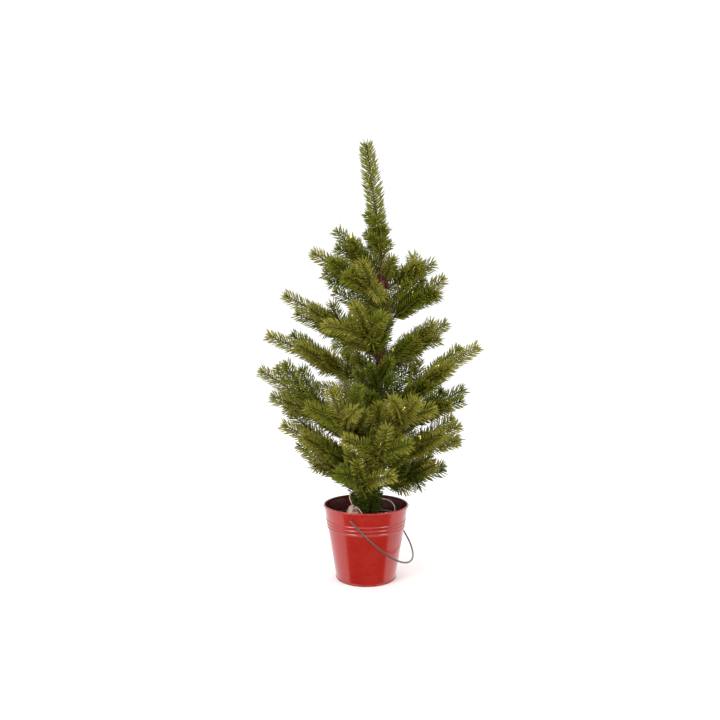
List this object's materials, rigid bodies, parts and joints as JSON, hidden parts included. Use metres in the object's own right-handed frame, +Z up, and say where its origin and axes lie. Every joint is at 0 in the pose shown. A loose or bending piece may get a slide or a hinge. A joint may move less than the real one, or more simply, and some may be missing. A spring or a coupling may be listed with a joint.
{
  "type": "artificial tabletop tree",
  "caption": "Small artificial fir tree with bendable boughs and a battery light string, standing in a round enamelled steel bucket with a wire bail handle.",
  "frame": {"origin": "on the bucket's axis, on the plane that its foot stands on", "axes": "+Z up; -Y is the front; +X to the right, the side that the bail hangs on"},
  "size_m": [0.3096, 0.2366, 0.5972],
  "materials": {
    "enamel": "gloss",
    "bail_wire": "satin",
    "plaster": "matte",
    "pole_paint": "satin",
    "tinsel": "satin",
    "needles": "satin",
    "case_plastic": "satin",
    "cell_jacket": "satin",
    "contact_steel": "satin",
    "board": "satin",
    "rubber": "matte",
    "lead_coating": "gloss",
    "lamp": "gloss"
  },
  "bodies": {
    "tree": {"bucket_wall": "enamel", "bucket_base": "enamel", "ballast_plug": "plaster", "trunk_pole": "pole_paint", "trunk_tinsel": "tinsel", "battery_case": "case_plastic", "contact_plate_bottom": "contact_steel", "contact_plate_top": "contact_steel", "battery_cell_1": "cell_jacket", "battery_cell_2": "cell_jacket", "battery_cell_3": "cell_jacket", "timer_board": "board", "lead_grommet": "rubber", "lead_left": "lead_coating", "lead_right": "lead_coating", "trunk_light_wire": "lead_coating", "leader_tip": "needles"},
    "bail": {"bail_handle": "bail_wire"},
    "cover": {"battery_cover": "case_plastic"},
    "switch": {"switch_slider": "rubber"},
    "bough_10": {"branch_10": "needles", "branch_light_10": "lamp"},
    "bough_11": {"branch_11": "needles"},
    "bough_12": {"branch_12": "needles", "branch_light_12": "lamp"},
    "bough_13": {"branch_13": "needles", "branch_light_13": "lamp"},
    "bough_14": {"branch_14": "needles"},
    "bough_15": {"branch_15": "needles"},
    "bough_16": {"branch_16": "needles", "branch_light_16": "lamp"},
    "bough_17": {"branch_17": "needles", "branch_light_17": "lamp"},
    "bough_18": {"branch_18": "needles", "branch_light_18": "lamp"},
    "bough_19": {"branch_19": "needles", "branch_light_19": "lamp"},
    "bough_20": {"branch_20": "needles"},
    "bough_21": {"branch_21": "needles", "branch_light_21": "lamp"},
    "bough_22": {"branch_22": "needles"},
    "bough_23": {"branch_23": "needles", "branch_light_23": "lamp"},
    "bough_24": {"branch_24": "needles", "branch_light_24": "lamp"},
    "bough_25": {"branch_25": "needles", "branch_light_25": "lamp"},
    "bough_01": {"branch_01": "needles"},
    "bough_02": {"branch_02": "needles", "branch_light_02": "lamp"},
    "bough_03": {"branch_03": "needles"},
    "bough_04": {"branch_04": "needles", "branch_light_04": "lamp"},
    "bough_05": {"branch_05": "needles"},
    "bough_06": {"branch_06": "needles", "branch_light_06": "lamp"},
    "bough_07": {"branch_07": "needles"},
    "bough_08": {"branch_08": "needles", "branch_light_08": "lamp"},
    "bough_09": {"branch_09": "needles"}
  },
  "joints": [
    {"name": "bail_swing", "type": "hinge", "parent": "tree", "child": "bail", "pos_m": [0, 0, 0.0903], "axis": [-0.342, -0.9397, 0], "range_deg": [0, 55]},
    {"name": "cover_slide", "type": "slide", "parent": "tree", "child": "cover", "axis": [0, 0, 1], "range_m": [0, 0.014]},
    {"name": "switch_travel", "type": "slide", "parent": "tree", "child": "switch", "axis": [0, 1, 0], "range_m": [-0.003, 0.003]},
    {"name": "bough_10_bend", "type": "hinge", "parent": "tree", "child": "bough_10", "pos_m": [0.01151, 0.00078, 0.302], "axis": [0.1023, 0.9947, 0], "range_deg": [-8, 12]},
    {"name": "bough_11_bend", "type": "hinge", "parent": "tree", "child": "bough_11", "pos_m": [0.00869, -0.00079, 0.258], "axis": [-0.1038, 0.9946, 0], "range_deg": [-8, 12]},
    {"name": "bough_12_bend", "type": "hinge", "parent": "tree", "child": "bough_12", "pos_m": [0.00218, 0.00047, 0.172], "axis": [0.0613, 0.9981, 0], "range_deg": [-8, 12]},
    {"name": "bough_13_bend", "type": "hinge", "parent": "tree", "child": "bough_13", "pos_m": [-0.00059, -0.00109, 0.138], "axis": [-0.1437, 0.9896, 0], "range_deg": [-8, 12]},
    {"name": "bough_14_bend", "type": "hinge", "parent": "tree", "child": "bough_14", "pos_m": [-0.00232, 0.00188, 0.116], "axis": [0.2473, 0.9689, 0], "range_deg": [-8, 12]},
    {"name": "bough_15_bend", "type": "hinge", "parent": "tree", "child": "bough_15", "pos_m": [0.0192, -0.0069, 0.36], "axis": [-0.9084, 0.4181, 0], "range_deg": [-8, 12]},
    {"name": "bough_16_bend", "type": "hinge", "parent": "tree", "child": "bough_16", "pos_m": [0.01589, -0.00711, 0.294], "axis": [-0.9361, 0.3517, 0], "range_deg": [-8, 12]},
    {"name": "bough_17_bend", "type": "hinge", "parent": "tree", "child": "bough_17", "pos_m": [0.01568, -0.00665, 0.2], "axis": [-0.875, -0.4841, 0], "range_deg": [-8, 12]},
    {"name": "bough_18_bend", "type": "hinge", "parent": "tree", "child": "bough_18", "pos_m": [0.00636, -0.00652, 0.178], "axis": [-0.8581, 0.5135, 0], "range_deg": [-8, 12]},
    {"name": "bough_19_bend", "type": "hinge", "parent": "tree", "child": "bough_19", "pos_m": [0.0091, -0.00748, 0.148], "axis": [-0.9848, -0.1737, 0], "range_deg": [-8, 12]},
    {"name": "bough_20_bend", "type": "hinge", "parent": "tree", "child": "bough_20", "pos_m": [0.00283, -0.00737, 0.112], "axis": [-0.9695, 0.2451, 0], "range_deg": [-8, 12]},
    {"name": "bough_21_bend", "type": "hinge", "parent": "tree", "child": "bough_21", "pos_m": [0.02281, 0.0076, 0.376], "axis": [0.9999, 0.0148, 0], "range_deg": [-8, 12]},
    {"name": "bough_22_bend", "type": "hinge", "parent": "tree", "child": "bough_22", "pos_m": [0.01909, 0.00752, 0.32], "axis": [0.9892, 0.1464, 0], "range_deg": [-8, 12]},
    {"name": "bough_23_bend", "type": "hinge", "parent": "tree", "child": "bough_23", "pos_m": [0.01929, 0.00708, 0.262], "axis": [0.9312, -0.3644, 0], "range_deg": [-8, 12]},
    {"name": "bough_24_bend", "type": "hinge", "parent": "tree", "child": "bough_24", "pos_m": [0.00915, 0.00691, 0.204], "axis": [0.9097, 0.4152, 0], "range_deg": [-8, 12]},
    {"name": "bough_25_bend", "type": "hinge", "parent": "tree", "child": "bough_25", "pos_m": [0.00824, 0.00733, 0.13], "axis": [0.9651, -0.2619, 0], "range_deg": [-8, 12]},
    {"name": "bough_01_bend", "type": "hinge", "parent": "tree", "child": "bough_01", "pos_m": [0.03026, -0.00222, 0.396], "axis": [-0.2922, -0.9564, 0], "range_deg": [-8, 12]},
    {"name": "bough_02_bend", "type": "hinge", "parent": "tree", "child": "bough_02", "pos_m": [0.02924, 0.00099, 0.346], "axis": [0.1303, -0.9915, 0], "range_deg": [-8, 12]},
    {"name": "bough_03_bend", "type": "hinge", "parent": "tree", "child": "bough_03", "pos_m": [0.02566, 0.00192, 0.29], "axis": [0.2524, -0.9676, 0], "range_deg": [-8, 12]},
    {"name": "bough_04_bend", "type": "hinge", "parent": "tree", "child": "bough_04", "pos_m": [0.02048, -0.00075, 0.212], "axis": [-0.0981, -0.9952, 0], "range_deg": [-8, 12]},
    {"name": "bough_05_bend", "type": "hinge", "parent": "tree", "child": "bough_05", "pos_m": [0.01824, 0.00127, 0.184], "axis": [0.1665, -0.986, 0], "range_deg": [-8, 12]},
    {"name": "bough_06_bend", "type": "hinge", "parent": "tree", "child": "bough_06", "pos_m": [0.01459, -0.00204, 0.142], "axis": [-0.269, -0.9631, 0], "range_deg": [-8, 12]},
    {"name": "bough_07_bend", "type": "hinge", "parent": "tree", "child": "bough_07", "pos_m": [0.01271, 0.00124, 0.118], "axis": [0.1632, -0.9866, 0], "range_deg": [-8, 12]},
    {"name": "bough_08_bend", "type": "hinge", "parent": "tree", "child": "bough_08", "pos_m": [0.01511, 0.00067, 0.408], "axis": [0.0883, 0.9961, 0], "range_deg": [-8, 12]},
    {"name": "bough_09_bend", "type": "hinge", "parent": "tree", "child": "bough_09", "pos_m": [0.0155, -0.00091, 0.384], "axis": [-0.1191, 0.9929, 0], "range_deg": [-8, 12]}
  ]
}
